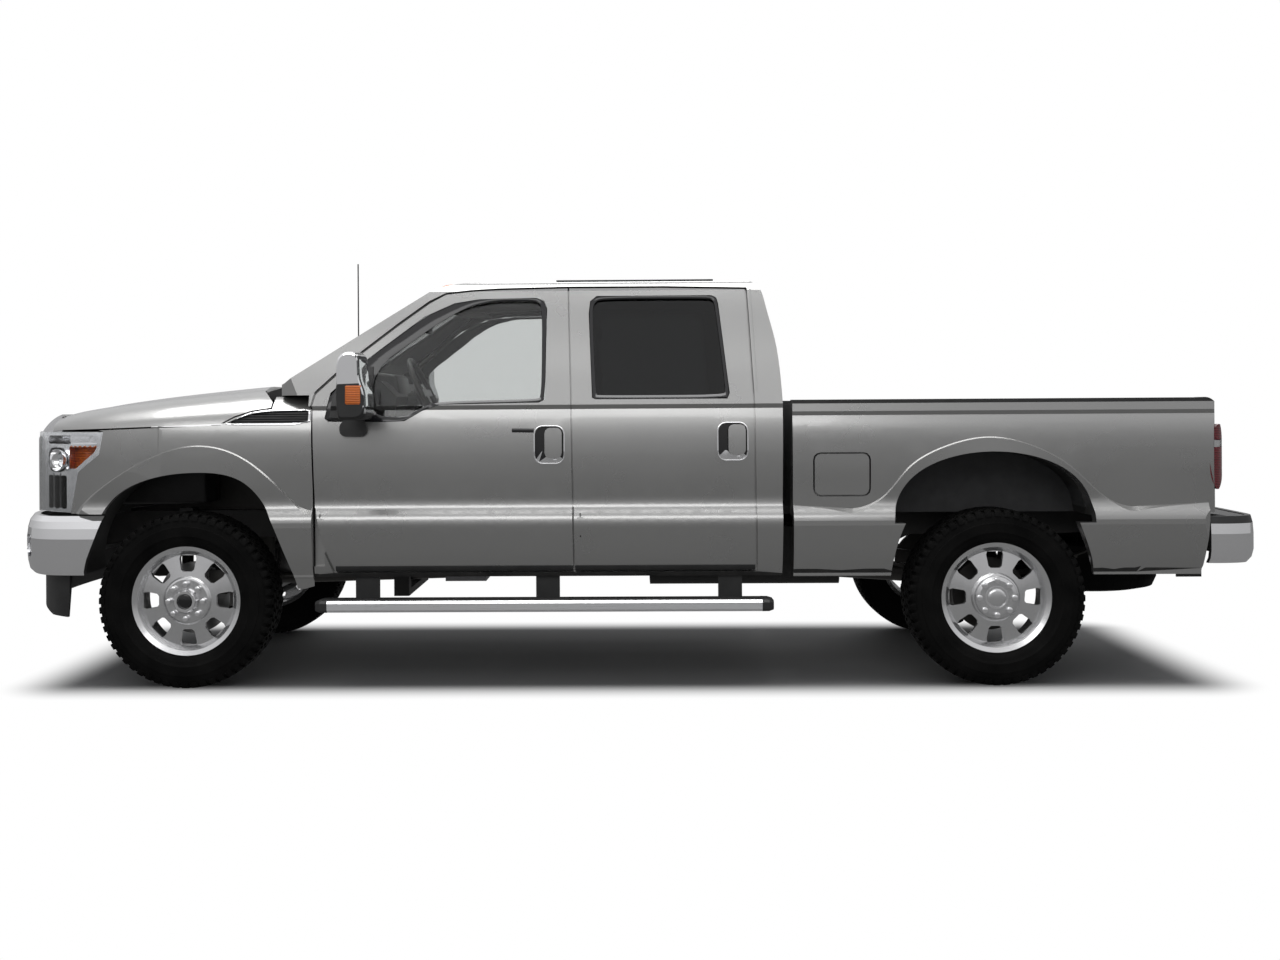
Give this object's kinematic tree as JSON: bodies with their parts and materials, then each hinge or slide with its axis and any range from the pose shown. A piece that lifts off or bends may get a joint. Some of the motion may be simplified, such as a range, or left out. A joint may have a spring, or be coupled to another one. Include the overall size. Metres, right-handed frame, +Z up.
{
  "type": "pickup truck",
  "caption": "Full-size crew-cab pickup truck with a short load bed, opening doors, hood and tailgate, steered front wheels and all-terrain tyres.",
  "frame": {"origin": "on the ground, at the middle of the length and width of the whole truck", "axes": "+X rearward along the truck, +Y to its right side, +Z up"},
  "size_m": [6.269, 2.66, 2.263],
  "materials": {
    "paint": "silver-grey metallic clear coat",
    "chrome": "polished",
    "polished_alloy": "polished cast",
    "bright_aluminium": "brushed",
    "black_plastic": "grained",
    "black_trim": "satin",
    "clear_glass": "clear",
    "tinted_glass": "dark tint",
    "lamp_clear": "clear over reflectors",
    "lamp_red": "clear red lens",
    "tyre_rubber": "matt",
    "chassis_black": "satin black",
    "cast_iron": "as cast",
    "spring_steel": "painted",
    "exhaust_steel": "aluminised",
    "seat_cloth": "woven",
    "interior_plastic": "grained"
  },
  "bodies": {
    "truck": {"cab_shell": "paint", "fender_left": "paint", "fender_right": "paint", "bed": "paint", "grille": "chrome", "front_bumper": "chrome", "rear_bumper": "chrome", "running_boards": "bright_aluminium", "valance": "black_plastic", "wheel_liners": "black_plastic", "cowl": "black_plastic", "fuel_tank": "black_plastic", "bed_rails": "black_trim", "antenna": "black_trim", "cab_glass": "clear_glass", "moonroof": "tinted_glass", "headlamps": "lamp_clear", "tail_lamps": "lamp_red", "spare_wheel": "tyre_rubber", "frame_rails": "chassis_black", "crossmembers": "chassis_black", "hitch": "chassis_black", "front_axle": "chassis_black", "rear_axle": "chassis_black", "engine": "cast_iron", "gearbox": "cast_iron", "springs": "spring_steel", "shock_absorbers": "spring_steel", "driveshafts": "spring_steel", "exhaust": "exhaust_steel", "seats": "seat_cloth", "dashboard": "interior_plastic"},
    "door_front_left": {"door_front_left": "paint", "window_front_left": "clear_glass", "mirror_left": "black_plastic"},
    "door_front_right": {"door_front_right": "paint", "window_front_right": "clear_glass", "mirror_right": "black_plastic"},
    "door_rear_left": {"door_rear_left": "paint", "window_rear_left": "tinted_glass"},
    "door_rear_right": {"door_rear_right": "paint", "window_rear_right": "tinted_glass"},
    "hood": {"hood": "paint"},
    "tailgate": {"tailgate": "paint"},
    "fuel_door": {"fuel_door": "paint"},
    "knuckle_left": {"knuckle_left": "cast_iron"},
    "knuckle_right": {"knuckle_right": "cast_iron"},
    "tie_rod": {"tie_rod": "spring_steel"},
    "wheel_front_left": {"tyre_front_left": "tyre_rubber", "rim_front_left": "polished_alloy"},
    "wheel_front_right": {"tyre_front_right": "tyre_rubber", "rim_front_right": "polished_alloy"},
    "wheel_rear_left": {"tyre_rear_left": "tyre_rubber", "rim_rear_left": "polished_alloy"},
    "wheel_rear_right": {"tyre_rear_right": "tyre_rubber", "rim_rear_right": "polished_alloy"},
    "steering_wheel": {"steering_wheel": "interior_plastic"}
  },
  "joints": [
    {"name": "door_front_left_hinge", "type": "hinge", "parent": "truck", "child": "door_front_left", "pos_m": [-1.5, -0.994, 0.9], "axis": [0, 0, 1], "range_deg": [-65, 0]},
    {"name": "door_front_right_hinge", "type": "hinge", "parent": "truck", "child": "door_front_right", "pos_m": [-1.5, 0.994, 0.9], "axis": [0, 0, 1], "range_deg": [0, 65]},
    {"name": "door_rear_left_hinge", "type": "hinge", "parent": "truck", "child": "door_rear_left", "pos_m": [-0.226, -0.994, 0.9], "axis": [0, 0, 1], "range_deg": [-65, 0]},
    {"name": "door_rear_right_hinge", "type": "hinge", "parent": "truck", "child": "door_rear_right", "pos_m": [-0.226, 0.994, 0.9], "axis": [0, 0, 1], "range_deg": [0, 65]},
    {"name": "hood_hinge", "type": "hinge", "parent": "truck", "child": "hood", "pos_m": [-1.742, 0, 1.462], "axis": [0, 1, 0], "range_deg": [0, 50]},
    {"name": "tailgate_hinge", "type": "hinge", "parent": "truck", "child": "tailgate", "pos_m": [2.846, 0, 0.892], "axis": [0, 1, 0], "range_deg": [0, 90]},
    {"name": "fuel_door_hinge", "type": "hinge", "parent": "truck", "child": "fuel_door", "pos_m": [0.978, -0.958, 1.038], "axis": [0, 0, 1], "range_deg": [-85, 0]},
    {"name": "steer_left", "type": "hinge", "parent": "truck", "child": "knuckle_left", "pos_m": [-2.1665, -0.75, 0.4327], "axis": [0, 0, 1], "range_deg": [-30, 30]},
    {"name": "steer_right", "type": "hinge", "parent": "truck", "child": "knuckle_right", "pos_m": [-2.1665, 0.75, 0.4327], "axis": [0, 0, 1], "range_deg": [-30, 30]},
    {"name": "tie_rod_pivot", "type": "hinge", "parent": "knuckle_left", "child": "tie_rod", "pos_m": [-1.9965, -0.75, 0.3277], "axis": [0, 0, 1], "range_deg": [-30, 30]},
    {"name": "steering_wheel_turn", "type": "hinge", "parent": "truck", "child": "steering_wheel", "pos_m": [-1.06, -0.4, 1.45], "axis": [0.9061, 0, 0.4231], "range_deg": [-450, 450]},
    {"name": "wheel_front_left_spin", "type": "hinge", "parent": "knuckle_left", "child": "wheel_front_left", "pos_m": [-2.1665, -0.8675, 0.4327], "axis": [0, 1, 0], "continuous": true},
    {"name": "wheel_rear_left_spin", "type": "hinge", "parent": "truck", "child": "wheel_rear_left", "pos_m": [1.8005, -0.8535, 0.4327], "axis": [0, 1, 0], "continuous": true},
    {"name": "wheel_front_right_spin", "type": "hinge", "parent": "knuckle_right", "child": "wheel_front_right", "pos_m": [-2.1665, 0.8675, 0.4327], "axis": [0, 1, 0], "continuous": true},
    {"name": "wheel_rear_right_spin", "type": "hinge", "parent": "truck", "child": "wheel_rear_right", "pos_m": [1.8005, 0.8535, 0.4327], "axis": [0, 1, 0], "continuous": true}
  ],
  "couplings": [
    {"joint": "steer_right", "follows": "steer_left", "ratio": 1},
    {"joint": "tie_rod_pivot", "follows": "steer_left", "ratio": -1},
    {"joint": "steering_wheel_turn", "follows": "steer_left", "ratio": -15}
  ]
}
